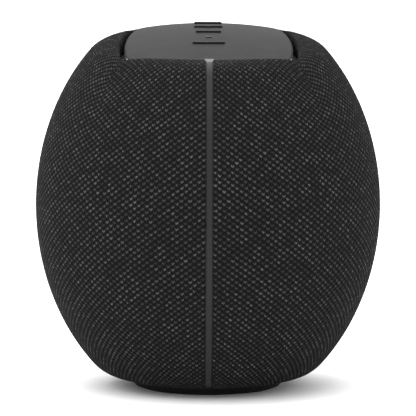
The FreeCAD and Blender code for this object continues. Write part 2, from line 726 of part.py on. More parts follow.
def make_cabinet():
    body = cabinet_solid(0, baffle_y, cabinet_split_y)
    hollow = cabinet_solid(cabinet_wall, baffle_y + baffle_thickness, cabinet_split_y + 1)
    bosses = [rod(post_radius, V(x, y, cabinet_floor_z), V(x, y, cabinet_floor_z + 9))
              for x, y in post_places()]
    bosses += [rod(post_radius, V(x, y, cabinet_top_z - 12), V(x, y, cabinet_top_z))
               for x, y in chassis_post_places()]
    bosses += [rod(post_radius + 0.5, V(x, cabinet_split_y - 12, z), V(x, cabinet_split_y + 2, z))
               for x, z in rear_boss_places()]
    holes = [rod(basket_radius + 0.4, V(0, baffle_y - 5, woofer_z), V(0, baffle_y + 9, woofer_z)),
             rod(tweeter_cup_radius + 0.4, V(0, baffle_y - 5, tweeter_z), V(0, baffle_y + 9, tweeter_z))]
    for sign in (-1, 1):
        holes.append(rod(radiator_frame_bore + 2.0, V(sign * (side_x - 9), radiator_y, radiator_z),
                         V(sign * (side_x + 9), radiator_y, radiator_z)))
        for y, z in radiator_screw_places():
            holes.append(screw_hole(V(sign * side_x, y, z), X_AXIS * -sign, cabinet_wall + 5))
    holes += [screw_hole(V(x, baffle_y, z), Y_AXIS, 8) for x, z in woofer_screw_places() + tweeter_screw_places()]
    holes += [screw_hole(V(x, y, cabinet_floor_z - 0.1), Z_AXIS, 7) for x, y in post_places()]
    holes += [screw_hole(V(x, y, cabinet_top_z + 0.1), -Z_AXIS, 9) for x, y in chassis_post_places()]
    holes += [screw_hole(V(x, cabinet_split_y + 0.1, z), -Y_AXIS, 11) for x, z in rear_boss_places()]
    save("cabinet_body", without(body.cut(without(hollow, bosses)), holes))

    y0 = cabinet_split_y + gasket_thickness
    cover = cabinet_solid(0, y0, rear_flat_y)
    hollow = cabinet_solid(cabinet_wall, y0 - 1, rear_flat_y - cabinet_wall)
    hollow = without(hollow, [rod(post_radius + 0.5, V(x, y0 - 2, z), V(x, rear_flat_y, z))
                              for x, z in rear_boss_places()])
    cover = cover.cut(hollow)
    bosses, holes, screws = [], [], []
    for x, z in rear_boss_places():
        seat = V(x, y0 + 5, z)
        holes.append(screw_hole(seat, -Y_AXIS, 6))
        holes.append(rod(head_radius + 0.2, seat, V(x, FAR, z)))
        screws.append(screw(seat, -Y_AXIS, 5 + gasket_thickness + 10))
    for x, z in board_stand_places():
        bosses.append(rod(2.8, V(x, rear_flat_y - 1, z), V(x, main_board_y - part_gap, z)))
        holes.append(screw_hole(V(x, main_board_y + 5, z), -Y_AXIS, 5 + main_board_y - rear_flat_y + 2.2))
    for x, z in port_stand_places():
        bosses.append(rod(2.8, V(x, rear_flat_y - 1, z), V(x, port_board_y - part_gap, z)))
        holes.append(screw_hole(V(x, port_board_y + 5, z), -Y_AXIS, 5 + port_board_y - rear_flat_y + 2.2))
    save("cabinet_rear_cover", without(fused([cover] + bosses), holes))
    save("rear_cover_screws", *screws)

    outer = cabinet_solid(0.2, cabinet_split_y + 0.02, y0 - 0.02)
    inner = cabinet_solid(cabinet_wall - 0.2, cabinet_split_y, y0)
    rings = [tube(post_radius, screw_radius + 0.6, V(x, cabinet_split_y + 0.02, z), V(x, y0 - 0.02, z)).common(outer)
             for x, z in rear_boss_places()]
    bores = [rod(screw_radius + 0.6, V(x, cabinet_split_y - 1, z), V(x, y0 + 1, z))
             for x, z in rear_boss_places()]
    save("cabinet_gasket", without(fused([outer.cut(inner)] + rings), bores))


# ---- Woofer ---------------------------------------------------------------------------------------

def on_woofer(points):
    """Spins (radius, y) points about the woofer's axis."""
    return spun(points, V(0, 0, woofer_z), Y_AXIS, X_AXIS)


def make_woofer():
    front = baffle_y - woofer_flange_thickness
    back = basket_back_y
    floor = 1.8
    wall_slope = (basket_radius - basket_back_radius) / (basket_depth - floor)
    seat_y = back - 5
    wall_at_seat = basket_radius - basket_wall - (seat_y - baffle_y) * wall_slope
    seat_outer = wall_at_seat + 0.5
    basket = on_woofer([(cone_radius + 5.2, front), (woofer_flange_radius, front), (woofer_flange_radius, baffle_y),
                        (basket_radius, baffle_y), (basket_back_radius, back), (top_plate_bore + 1, back),
                        (top_plate_bore + 1, back - floor), (basket_back_radius - basket_wall, back - floor),
                        (basket_radius - basket_wall, baffle_y)])
    ledge = on_woofer([(seat_outer - 3.6, seat_y), (seat_outer, seat_y), (seat_outer, seat_y + 2),
                       (seat_outer - 3.6, seat_y + 2)])
    windows = []
    for x, z in ring_places(6, 1.0):
        way = V(x, 0, z)
        window = box(top_plate_bore + 14, basket_radius + 3, baffle_y + 5, back - 6.5, -9, 9)
        window.Placement = FreeCAD.Placement(V(0, 0, woofer_z), FreeCAD.Rotation(X_AXIS, way))
        windows.append(window)
    holes = [screw_hole(V(x, front - 1, z), Y_AXIS, 9) for x, z in woofer_screw_places()]
    save("woofer_basket", without(fused([basket, ledge]), windows + holes))

    gap = 0.02
    plate_back = back + gap + top_plate_thickness
    magnet_back = plate_back + gap + magnet_thickness
    yoke_back = magnet_back + gap + yoke_thickness
    save("woofer_top_plate", on_woofer([(top_plate_bore, back + gap), (top_plate_radius, back + gap),
                                        (top_plate_radius, plate_back), (top_plate_bore, plate_back)]))
    save("woofer_magnet", on_woofer([(top_plate_bore + 2, plate_back + gap), (magnet_radius, plate_back + gap),
                                     (magnet_radius, magnet_back), (top_plate_bore + 2, magnet_back)]))
    save("woofer_yoke", on_woofer([(3, back - 0.5), (pole_radius, back - 0.5), (pole_radius, magnet_back + gap),
                                   (top_plate_radius + 1, magnet_back + gap), (top_plate_radius + 1, yoke_back),
                                   (3, yoke_back)]))

    neck_y = seat_y - 4.5
    coil_low, coil_high = back - 1.5, back + gap + top_plate_thickness + 1.0
    save("voice_coil", on_woofer([(former_inner, neck_y - 1.5), (former_outer, neck_y - 1.5), (former_outer, coil_low),
                                  (winding_outer, coil_low), (winding_outer, coil_high), (former_inner, coil_high)]))
    lip = cone_front_y
    save("woofer_cone", on_woofer([(former_outer + 0.05, neck_y), (cone_radius - 2, lip + cone_thickness),
                                   (cone_radius, lip + cone_thickness), (cone_radius, lip),
                                   (cone_radius - 2.2, lip), (former_outer + 0.05, neck_y - cone_thickness - 0.3)]))
    slope = (lip - (neck_y - cone_thickness - 0.3)) / (cone_radius - 2.2 - former_outer)
    cap_radius = 13.0
    cap_y = neck_y - cone_thickness - 0.3 + slope * (cap_radius - former_outer) - 0.15
    rise = 4.0
    ball = (cap_radius ** 2 + rise ** 2) / (2 * rise)
    centre = V(0, cap_y - rise + ball, woofer_z)
    dome = Part.makeSphere(ball, centre).cut(Part.makeSphere(ball - 0.6, centre))
    save("dust_cap", dome.common(rod(cap_radius, V(0, cap_y - rise - 1, woofer_z), V(0, cap_y, woofer_z))))

    roll_mid = cone_radius + 2.7
    roll = 2.9
    face = lip - 0.02
    ring = Part.makeTorus(roll_mid, roll, V(0, face, woofer_z), Y_AXIS)
    ring = ring.cut(Part.makeTorus(roll_mid, roll - 0.6, V(0, face, woofer_z), Y_AXIS))
    ring = ring.common(rod(woofer_flange_radius, V(0, face - 2 * roll, woofer_z), V(0, face, woofer_z)))
    inner_flat = on_woofer([(cone_radius - 2.0, face - 0.6), (roll_mid - roll + 0.3, face - 0.6),
                            (roll_mid - roll + 0.3, face), (cone_radius - 2.0, face)])
    outer_flat = on_woofer([(roll_mid + roll - 0.3, face - 0.6), (roll_mid + roll + 1.6, face - 0.6),
                            (roll_mid + roll + 1.6, face), (roll_mid + roll - 0.3, face)])
    save("woofer_surround", fused([ring, inner_flat, outer_flat]))

    t = 0.5
    y = seat_y - 0.05
    inner, outer = former_outer + 0.05, wall_at_seat - 0.2
    waves = 4
    step = (outer - 3.0 - inner - 1.0) / (2 * waves)
    tops = [(inner, y)] + [(inner + 1.0 + k * step, y - (1.2 if k % 2 else 0)) for k in range(2 * waves + 1)]
    tops.append((outer, y))
    save("woofer_spider", on_woofer([(r, w - t) for r, w in tops] + [(r, w) for r, w in reversed(tops)]))


# ---- Tweeter --------------------------------------------------------------------------------------

def make_tweeter():
    def spin(points):
        return spun(points, V(0, 0, tweeter_z), Y_AXIS, X_AXIS)
    front = baffle_y - tweeter_flange_thickness
    back = baffle_y + tweeter_cup_depth
    bore = dome_half_width + 1.0
    housing = spin([(bore, front), (tweeter_flange_radius, front), (tweeter_flange_radius, baffle_y),
                    (tweeter_cup_radius, baffle_y), (tweeter_cup_radius, back), (0, back), (0, back - 1.5),
                    (bore, back - 1.5)])
    holes = [screw_hole(V(x, front - 1, z), Y_AXIS, 9) for x, z in tweeter_screw_places()]
    save("tweeter_housing", without(housing, holes))
    pole_front = front + 3.0
    save("tweeter_magnet", spin([(0, pole_front), (tweeter_magnet_radius, pole_front),
                                 (tweeter_magnet_radius, back - 1.5), (0, back - 1.5)]))
    rise = 3.2
    ball = (dome_half_width ** 2 + rise ** 2) / (2 * rise)
    centre = V(0, front - rise + ball, tweeter_z)
    dome = Part.makeSphere(ball, centre).cut(Part.makeSphere(ball - 0.5, centre))
    dome = dome.common(rod(dome_half_width + 1, V(0, front - rise - 1, tweeter_z), V(0, front, tweeter_z)))
    coil_inner = tweeter_magnet_radius + 0.3
    coil = spin([(coil_inner, front - 0.9), (coil_inner + 0.5, front - 0.9), (coil_inner + 0.5, pole_front + 2.5),
                 (coil_inner, pole_front + 2.5)])
    outside = Part.makeSphere(ball, centre)
    save("tweeter_dome", fused([dome, coil.common(outside)]))


# ---- Passive radiators ----------------------------------------------------------------------------

def make_radiators():
    for side, sign in (("left", -1), ("right", 1)):
        axis = X_AXIS * sign
        origin = V(0, radiator_y, radiator_z)

        def spin(points, axis=axis, origin=origin):
            return spun(points, origin, axis, Y_AXIS)
        face = side_x + radiator_flange_thickness
        bore = radiator_frame_bore
        frame = spin([(bore, side_x - 4), (bore + 1.5, side_x - 4), (bore + 1.5, side_x),
                      (radiator_flange_radius, side_x), (radiator_flange_radius, face), (bore, face)])
        holes = [screw_hole(V(sign * (face + 1), y, z), -axis, 9) for y, z in radiator_screw_places()]
        save(f"radiator_frame_{side}", without(frame, holes))
        plate_face = face - 0.02
        plate = spin([(0, plate_face - radiator_plate_thickness), (radiator_plate_radius, plate_face -
                      radiator_plate_thickness), (radiator_plate_radius, plate_face), (9, plate_face),
                      (9, plate_face - 1), (0, plate_face - 1)])
        save(f"radiator_plate_{side}", plate)
        roll_low, roll_high = radiator_plate_radius + 0.6, bore + 1.4
        mid, roll = (roll_low + roll_high) / 2, (roll_high - roll_low) / 2
        lift = origin + axis * (face + 0.02)
        ring = Part.makeTorus(mid, roll, lift, axis).cut(Part.makeTorus(mid, roll - 0.8, lift, axis))
        ring = ring.common(rod(radiator_flange_radius, lift, lift + axis * 20))
        flats = [spin([(r0, face + 0.02), (r1, face + 0.02), (r1, face + 0.82), (r0, face + 0.82)])
                 for r0, r1 in ((radiator_plate_radius - 3, roll_low + 0.4), (roll_high - 0.4, roll_high + 1.0))]
        save(f"radiator_surround_{side}", fused([ring] + flats))


def make_driver_screws():
    """The screws of the woofer, the tweeter and both radiators."""
    screws = [screw(V(x, baffle_y - woofer_flange_thickness, z), Y_AXIS, woofer_flange_thickness + 7)
              for x, z in woofer_screw_places()]
    screws += [screw(V(x, baffle_y - tweeter_flange_thickness, z), Y_AXIS, tweeter_flange_thickness + 6,
                     small_head_radius) for x, z in tweeter_screw_places()]
    screws += [screw(V(sign * (side_x + radiator_flange_thickness), y, z), X_AXIS * -sign,
                     radiator_flange_thickness + 6, small_head_radius)
               for sign in (-1, 1) for y, z in radiator_screw_places()]
    save("driver_screws", *screws)


# ---- Boards and port panel ------------------------------------------------------------------------

def board_stand_places():
    return [(x, z) for x in (-main_board_half_width + 4, main_board_half_width - 4)
            for z in (main_board_bottom_z + 4, main_board_top_z - 4)]


def port_stand_places():
    reach = port_board_half_width - 3
    return [(x, panel_z - port_board_half_height + 3) for x in (-reach, reach)]


def make_main_board():
    face = main_board_y + board_thickness
    board = box(-main_board_half_width, main_board_half_width, main_board_y, face, main_board_bottom_z,
                main_board_top_z)
    holes = [screw_hole(V(x, face + 1, z), -Y_AXIS, 9) for x, z in board_stand_places()]
    save("main_board", without(board, holes))
    on = face + 0.02
    middle = (main_board_bottom_z + main_board_top_z) / 2
    chips = [box(-27, -19, on, on + 1.2, middle - 4, middle + 4), box(18, 28, on, on + 1.4, middle - 12, middle - 2),
             box(20, 26, on, on + 1.0, middle + 4, middle + 10), box(-26, -20, on, on + 1.0, middle + 9, middle + 14),
             box(-6, 6, on, on + 2.4, main_board_top_z - 5, main_board_top_z - 1.5)]
    cans = [rod(3.2, V(x, on, middle - 15), V(x, on + 7.0, middle - 15)) for x in (-22, -14, -6)]
    cans += [rod(2.5, V(x, on, middle - 16), V(x, on + 6.0, middle - 16)) for x in (4, 10.5)]
    save("board_components", *chips, *cans)
    base = box(-14, 14, on, on + 1.5, middle - 8, middle + 12)
    fins = [box(x - 0.5, x + 0.5, on + 1.2, on + 7.5, middle - 8, middle + 12) for x in range(-13, 14, 4)]
    save("heat_sink", fused([base] + fins))
    stands = [screw(V(x, face, z), -Y_AXIS, board_thickness + main_board_y - rear_flat_y + 1.6)
              for x, z in board_stand_places()]
    port_face = port_board_y + board_thickness
    stands += [screw(V(x, port_face, z), -Y_AXIS, board_thickness + port_board_y - rear_flat_y + 1.6)
               for x, z in port_stand_places()]
    save("board_screws", *stands)


def lead(radius, points):
    """A round lead through a list of points."""
    runs = [rod(radius, a, b) for a, b in zip(points, points[1:])]
    bends = [Part.makeSphere(radius, p) for p in points[1:-1]]
    return fused(runs + bends)


def make_leads():
    thickness, half = 0.3, 4.0
    top, low = key_board_z - 0.02, cabinet_top_z + 3.0
    down, back = 29.5, rear_flat_y + 2.0
    end = main_board_top_z - 6
    path = [(down, top), (down, low), (back, low), (back, end), (back + 1.2, end), (back + 1.2, end - 0.4),
            (back - thickness, end - 0.4), (back - thickness, low - thickness), (down - thickness, low - thickness),
            (down - thickness, top)]
    corners = [V(-half, y, z) for y, z in path]
    ribbon = Part.Face(Part.makePolygon(corners + corners[:1])).extrude(V(2 * half, 0, 0))
    save("key_ribbon", ribbon)

    start_z = cradle_z + cradle_wall + cell_radius
    start_y = 3 * cell_radius + cell_gap + cradle_wall + 0.6
    climb_y = rear_flat_y + 1.6
    leads = []
    for x in (-26.0, -23.6):
        leads.append(lead(0.8, [V(x, start_y, start_z + 4), V(x, start_y + 4, start_z + 4),
                                V(x, climb_y, start_z + 10.5),
                                V(x, climb_y, main_board_bottom_z - 2), V(x, main_board_y + 1, main_board_bottom_z - 0.9)]))
    save("battery_leads", *leads)


def make_port_panel():
    outline = rounded_panel(panel_half_width, panel_half_height, panel_corner, panel_floor_y - panel_wall, FAR)
    recess = rounded_panel(panel_half_width - panel_wall, panel_half_height - panel_wall,
                           panel_corner - panel_wall, panel_floor_y, FAR)
    panel = outline.common(egg(0.3)).cut(recess)
    through = [rod(button_radius + 0.25, V(button_x, 0, panel_z), V(button_x, FAR, panel_z)),
               rod(aux_barrel_radius + 0.1, V(aux_x, 0, panel_z), V(aux_x, FAR, panel_z)),
               rod(charge_lens_radius + 0.05, V(usb_x, 0, panel_z + charge_lens_above),
                   V(usb_x, FAR, panel_z + charge_lens_above)),
               usb_prism(0.1, panel_floor_y - panel_wall - 1, panel_floor_y + 1)]
    save("rear_panel", without(panel, through))

    face = port_board_y + board_thickness
    board = box(-port_board_half_width, port_board_half_width, port_board_y, face,
                panel_z - port_board_half_height, panel_z + port_board_half_height)
    board = board.cut(rod(aux_bore_radius + 1, V(aux_x, 0, panel_z), V(aux_x, FAR, panel_z)))
    holes = [screw_hole(V(x, face + 1, z), -Y_AXIS, 9) for x, z in port_stand_places()]
    switch = box(button_x - 3, button_x + 3, face - 0.2, face + 3.2, panel_z - 3, panel_z + 3)
    save("port_board", without(fused([board, switch]), holes))

    stem_y = face + 3.2 + button_travel + 0.1
    cap = rod(button_radius, V(button_x, panel_floor_y - panel_wall - 1, panel_z),
              V(button_x, panel_floor_y + button_rise, panel_z))
    cap = rounded(cap, 0.6, lambda e: e.Closed and e.BoundBox.YMin > panel_floor_y)
    collar = rod(button_radius + 1.2, V(button_x, panel_floor_y - panel_wall - 1.4, panel_z),
                 V(button_x, panel_floor_y - panel_wall - 0.2, panel_z))
    stem = rod(1.6, V(button_x, stem_y, panel_z), V(button_x, panel_floor_y - panel_wall, panel_z))
    save("power_button", fused([cap, collar, stem]))

    shell = usb_prism(0, face + 0.02, panel_floor_y).cut(usb_prism(-usb_wall, face + 1, panel_floor_y + 1))
    tongue = box(usb_x - 3.3, usb_x + 3.3, face + 0.9, panel_floor_y - 1.2, panel_z - 0.35, panel_z + 0.35)
    save("usb_socket", fused([shell, tongue]))

    body_front = panel_floor_y - panel_wall - 0.2
    jack = box(aux_x - 4.2, aux_x + 4.2, face + 0.02, body_front, panel_z - 4.2, panel_z + 4.2)
    barrel = rod(aux_barrel_radius, V(aux_x, body_front - 1, panel_z), V(aux_x, panel_floor_y, panel_z))
    bore = rod(aux_bore_radius, V(aux_x, panel_floor_y - aux_depth, panel_z), V(aux_x, panel_floor_y + 1, panel_z))
    save("aux_jack", fused([jack, barrel]).cut(bore))

    z = panel_z + charge_lens_above
    lens = rod(charge_lens_radius, V(usb_x, face + 1.2, z), V(usb_x, panel_floor_y + 0.3, z))
    save("charge_lens", lens)


def usb_prism(grow, y0, y1):
    """The USB socket's rounded outline, grown on all sides, from y0 to y1."""
    half_width, half_height = usb_width / 2 + grow, usb_height / 2 + grow
    shape = box(usb_x - half_width, usb_x + half_width, y0, y1, panel_z - half_height, panel_z + half_height)
    return rounded(shape, half_height * 0.96, lambda e: len(e.Vertexes) == 2 and abs(e.tangentAt(0).y) > 0.99)


make_skins()
make_spines()
make_control_plate()
make_trim_ring()
make_keys()
make_chassis()
make_base()
make_battery()
make_cabinet()
make_woofer()
make_tweeter()
make_radiators()
make_driver_screws()
make_main_board()
make_leads()
make_port_panel()
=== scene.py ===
"""A portable speaker: knit cover, materials, floor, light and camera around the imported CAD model."""

import json
import math

import bmesh
import bpy
import numpy as np
from mathutils import Matrix, Vector


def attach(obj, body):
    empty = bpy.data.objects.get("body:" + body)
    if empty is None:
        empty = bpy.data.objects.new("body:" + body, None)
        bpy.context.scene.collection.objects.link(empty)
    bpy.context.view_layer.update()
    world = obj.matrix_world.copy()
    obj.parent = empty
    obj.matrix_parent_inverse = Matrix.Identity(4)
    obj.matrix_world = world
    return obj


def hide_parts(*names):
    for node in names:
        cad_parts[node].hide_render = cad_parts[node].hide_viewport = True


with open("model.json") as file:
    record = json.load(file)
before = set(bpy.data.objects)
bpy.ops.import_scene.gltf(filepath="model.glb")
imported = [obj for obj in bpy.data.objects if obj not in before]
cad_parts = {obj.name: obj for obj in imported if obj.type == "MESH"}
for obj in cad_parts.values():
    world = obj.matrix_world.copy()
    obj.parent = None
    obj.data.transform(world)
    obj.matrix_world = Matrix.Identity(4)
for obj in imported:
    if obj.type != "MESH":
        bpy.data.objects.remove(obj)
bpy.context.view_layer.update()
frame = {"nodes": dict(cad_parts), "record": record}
MM = 0.001


# ---- Knit cover, in millimetres --------------------------------------------------------------------

# The outline follows the CAD's fabric. The cover's wall in the well stops a little above the CAD's.
BODY_RADIUS = 90.8
WAIST_Z = 96.5
RIM_Z = 183.0
RIM_SLOPE = math.tan(math.radians(3.7))
SHOULDER_RADIUS = 58.0
FOOT_Z = 5.0
SHOULDER_ROUND = 15.0
HEEL_ROUND = 24.0
HOLE_RADIUS = 42.0
WELL_REACH = 3.0
WELL_CORNER = 5.0
WELL_SHARPNESS = 5.5     # how tightly the well's four arcs are blended at its corners
WELL_BOTTOM_Z = 174.4
LIP_ROUND = 2.2
PLATE_HALF_DEPTH = 45.0
PLATE_HALF_WIDTH = 43.9
PLATE_FRONT_BULGE = 150.0
PLATE_BACK_BULGE = 75.0
PLATE_SIDE_BULGE = 200.0
PLATE_WIDEST_Y = -17.0
SEAM_HALF = 1.95
TONGUE_ROOT_HALF = 2.9
TONGUE_START_Y = 46.0
TONGUE_END_Y = 54.0
PANEL_Z = 68.0
PANEL_HALF_WIDTH = 23.2
PANEL_HALF_HEIGHT = 16.2
PANEL_CORNER = 7.2

COLUMNS = 120            # stitches round one half
ROWS = 66                # stitches from the hole in the base to the end of the well's wall
ACROSS = 3               # mesh cells across a stitch
ALONG = 4                # mesh cells along a stitch
CHEVRON = 0.95           # how far a stitch's legs rise, in mm
RELIEF = 0.42            # height of the yarn above the holes between stitches, in mm
SINK = 0.34              # the cover's mean face below the CAD's, in mm
ROW_RELIEF = (1.0, 0.42, 0.0, 0.5)       # over one stitch, from its yarn down
LEG_RELIEF = (0.5, 1.0, 0.86)            # across one stitch
LEG_RISE = (1.0, 0.3, 0.0)               # the chevron, across one stitch
EDGE_HEIGHT = 0.5        # relief between two columns, as a share of the whole
SEAM_TUCK = 1.15         # how far the edge at the seam turns in
PANEL_SNAP = 2.5         # points this near inside the port panel move to its outline
LATE_SPREAD = 6          # power that keeps the rows even until close to the lip


def well_radius(angle, grow):
    """How far the well's wall is from the middle, in a direction seen from above."""
    way = np.array([np.cos(angle), np.sin(angle)])
    front = PLATE_FRONT_BULGE - PLATE_HALF_DEPTH
    back = PLATE_BACK_BULGE - PLATE_HALF_DEPTH
    side = PLATE_SIDE_BULGE - PLATE_HALF_WIDTH
    circles = [((0, front), PLATE_FRONT_BULGE), ((0, -back), PLATE_BACK_BULGE),
               ((side, PLATE_WIDEST_Y), PLATE_SIDE_BULGE), ((-side, PLATE_WIDEST_Y), PLATE_SIDE_BULGE)]
    reach = []
    for centre, radius in circles:
        along = way[0] * centre[0] + way[1] * centre[1]
        reach.append(along + np.sqrt(along ** 2 - centre[0] ** 2 - centre[1] ** 2 + (radius + grow) ** 2))
    reach = np.array(reach)
    sharpness = WELL_SHARPNESS / WELL_CORNER
    nearest = reach.min(0)
    return nearest - np.log(np.exp(-(reach - nearest) * sharpness).sum(0)) / sharpness


def body_profile(angle):
    """The body's outline at one bearing as (radius, z) points, from the base's hole to the rim's middle."""
    half_height = (RIM_Z - WAIST_Z) / math.sqrt(1 - (SHOULDER_RADIUS / BODY_RADIUS) ** 2)
    rim_slope = RIM_SLOPE * math.sin(angle)

    def side(z):
        return BODY_RADIUS * math.sqrt(1 - ((z - WAIST_Z) / half_height) ** 2)

    def rounded_end(flat_z, slope, rounding, sign):
        """Where the rounding's arc leaves the side: its height, its bearing and its centre."""
        low, high = WAIST_Z, WAIST_Z + sign * half_height * 0.995
        for _ in range(40):
            z = (low + high) / 2
            steepness = BODY_RADIUS ** 2 * (z - WAIST_Z) / (half_height ** 2 * side(z))
            length = math.hypot(1, steepness)
            centre_r, centre_z = side(z) - rounding / length, z - rounding * steepness / length
            if sign * (flat_z + slope * centre_r - centre_z) / math.hypot(1, slope) > rounding:
                low = z
            else:
                high = z
        return z, math.atan(steepness), centre_r, centre_z

    low_z, low_turn, low_r, low_c = rounded_end(FOOT_Z, 0.0, HEEL_ROUND, -1)
    high_z, high_turn, high_r, high_c = rounded_end(RIM_Z, rim_slope, SHOULDER_ROUND, 1)
    points = [(r, FOOT_Z) for r in np.linspace(HOLE_RADIUS, low_r, 12)[:-1]]
    points += [(low_r + HEEL_ROUND * math.cos(a), low_c + HEEL_ROUND * math.sin(a))
               for a in np.linspace(-math.pi / 2, low_turn, 40)[:-1]]
    points += [(side(z), z) for z in np.linspace(low_z, high_z, 400)]
    points += [(high_r + SHOULDER_ROUND * math.cos(a), high_c + SHOULDER_ROUND * math.sin(a))
               for a in np.linspace(high_turn, math.pi / 2 + math.atan(rim_slope), 40)[1:]]
    points += [(r, RIM_Z + rim_slope * r) for r in np.linspace(points[-1][0], 20, 60)[1:]]
    return np.array(points)


def meridian(profile, lip):
    """The cover's line up one side: the profile as far as the well, then over the lip and down its wall."""
    top = len(profile) - 1
    while profile[top][0] < lip:
        top -= 1
    a, b = profile[top], profile[top + 1]
    corner = a + (b - a) * (a[0] - lip) / (a[0] - b[0])
    line = np.vstack([profile[:top + 1], corner])
    run = np.concatenate([[0], np.cumsum(np.hypot(*np.diff(line, axis=0).T))])
    leave = run[-1] - LIP_ROUND
    start = np.array([np.interp(leave, run, line[:, 0]), np.interp(leave, run, line[:, 1])])
    end = corner - (0, LIP_ROUND * 0.8)
    t = np.linspace(0, 1, 16)[:, None]
    roll = (1 - t) ** 2 * start + 2 * t * (1 - t) * corner + t ** 2 * end
    wall = np.array([[lip, z] for z in np.linspace(end[1], WELL_BOTTOM_Z, 6)[1:]])
    return np.vstack([line[run < leave - 0.05], roll, wall])


def seam_half(radius, z):
    """Half the gap between the two halves, which widens to take the trim ring's tongue."""
    widening = np.clip((TONGUE_END_Y - radius) / (TONGUE_END_Y - TONGUE_START_Y), 0, 1)
    return SEAM_HALF + (TONGUE_ROOT_HALF - SEAM_HALF) * widening * (z > WAIST_Z)


def knit_grid(side):
    """Smooth positions of one half's mesh points with their rows and columns, before the relief."""
    across, along = COLUMNS * ACROSS, ROWS * ALONG
    i = np.arange(across + 1)
    u = i / ACROSS
    angles = -math.pi / 2 + math.pi * i / across
    lips = well_radius(angles, WELL_REACH)
    rise = np.array(LEG_RISE)[i % ACROSS]
    share = np.arange(along + 1) / along
    fade = np.minimum(1, np.minimum(np.arange(along + 1), along - np.arange(along + 1)) / 3)
    lines = [meridian(body_profile(a), lip) for a, lip in zip(angles, lips)]
    runs = [np.concatenate([[0], np.cumsum(np.hypot(*np.diff(line, axis=0).T))]) for line in lines]
    usual = np.mean([run[-1] for run in runs])
    radius, height = [], []
    for k, (line, run) in enumerate(zip(lines, runs)):
        at = usual * share + (run[-1] - usual) * share ** LATE_SPREAD
        at = np.clip(at + rise[k] * CHEVRON * fade, 0, run[-1])
        radius.append(np.interp(at, run, line[:, 0]))
        height.append(np.interp(at, run, line[:, 1]))
    radius, height = np.array(radius), np.array(height)
    gap = np.arcsin(seam_half(radius, height) / radius)
    t = (i / across)[:, None]
    turn = (-math.pi / 2 + gap) * (1 - t) + (math.pi / 2 - gap) * t
    x = radius * np.cos(turn) * side
    return np.stack([x, radius * np.sin(turn), height], -1), u


def outward(grid, side):
    """The surface's unit normals, from the smooth grid."""
    normal = np.cross(np.gradient(grid, axis=0), np.gradient(grid, axis=1))
    normal *= side
    return normal / np.maximum(np.linalg.norm(normal, axis=-1, keepdims=True), 1e-9)


def panel_distance(x, z):
    """Signed distance to the port panel's outline, below zero inside it, and the nearest point on it."""
    qx = np.abs(x) - PANEL_HALF_WIDTH + PANEL_CORNER
    qz = np.abs(z - PANEL_Z) - PANEL_HALF_HEIGHT + PANEL_CORNER
    out = np.hypot(np.maximum(qx, 0), np.maximum(qz, 0))
    inside = np.minimum(np.maximum(qx, qz), 0)
    distance = out + inside - PANEL_CORNER
    corner = (qx > 0) & (qz > 0)
    way_x = np.where(corner, qx / np.maximum(out, 1e-9), (qx >= qz).astype(float)) * np.sign(x)
    way_z = np.where(corner, qz / np.maximum(out, 1e-9), (qx < qz).astype(float)) * np.sign(z - PANEL_Z)
    return distance, x - way_x * distance, z - way_z * distance


def make_knit(name, side):
    """One half of the cover: a single sheet with every stitch in relief, cut out for the port panel."""
    grid, u = knit_grid(side)
    normal = outward(grid, side)
    across, along = grid.shape[0] - 1, grid.shape[1] - 1
    i, j = np.meshgrid(np.arange(across + 1), np.arange(along + 1), indexing="ij")
    column = i // ACROSS
    stitch_row = (j + (ALONG // 2) * (column % 2)) % ALONG
    row_height = np.array(ROW_RELIEF)[stitch_row]
    leg = np.array(LEG_RELIEF)[i % ACROSS]
    edge = (i % ACROSS) == 0
    height = np.where(edge, EDGE_HEIGHT, row_height * leg)
    border = np.minimum(np.minimum(i, across - i) / 3.0, np.minimum(j, along - j) / 2.0)
    height = height * np.clip(border, 0, 1)
    tuck = np.clip(1 - np.minimum(i, across - i) / 2.0, 0, 1) ** 2
    depth = SINK - RELIEF * height + SEAM_TUCK * tuck
    points = grid - normal * depth[..., None]
    points[0, :, 0] = side * np.maximum(np.abs(points[0, :, 0]), SEAM_HALF)
    distance, px, pz = panel_distance(points[..., 0], points[..., 2])
    hidden = (distance < 0) & (points[..., 1] > 0)
    near = hidden & (distance > -PANEL_SNAP)
    points[..., 0] = np.where(near, px, points[..., 0])
    points[..., 2] = np.where(near, pz, points[..., 2])
    index = i * (along + 1) + j
    quads = np.stack([index[:-1, :-1], index[1:, :-1], index[1:, 1:], index[:-1, 1:]], -1).reshape(-1, 4)
    if side < 0:
        quads = quads[:, ::-1]
    flat_hidden = hidden.reshape(-1)
    quads = quads[~flat_hidden[quads].all(1)]
    coords = points.reshape(-1, 3) * MM
    mesh = bpy.data.meshes.new(name)
    mesh.from_pydata(coords.tolist(), [], quads.tolist())
    uv = mesh.uv_layers.new(name="stitches")
    loops = np.zeros(len(mesh.loops), int)
    mesh.loops.foreach_get("vertex_index", loops)
    wale = (i / ACROSS).reshape(-1)
    course = (j / ALONG).reshape(-1)
    uv.data.foreach_set("uv", np.stack([wale[loops], course[loops]], -1).reshape(-1).astype(np.float32))
    mesh.shade_smooth()
    obj = bpy.data.objects.new(name, mesh)
    bpy.context.scene.collection.objects.link(obj)
    drop_loose_points(obj)
    return obj


def drop_loose_points(obj):
    """Deletes the points that belong to no face."""
    bm = bmesh.new()
    bm.from_mesh(obj.data)
    bmesh.ops.delete(bm, geom=[v for v in bm.verts if not v.link_faces], context="VERTS")
    bm.to_mesh(obj.data)
    bm.free()


# ---- Materials ------------------------------------------------------------------------------------

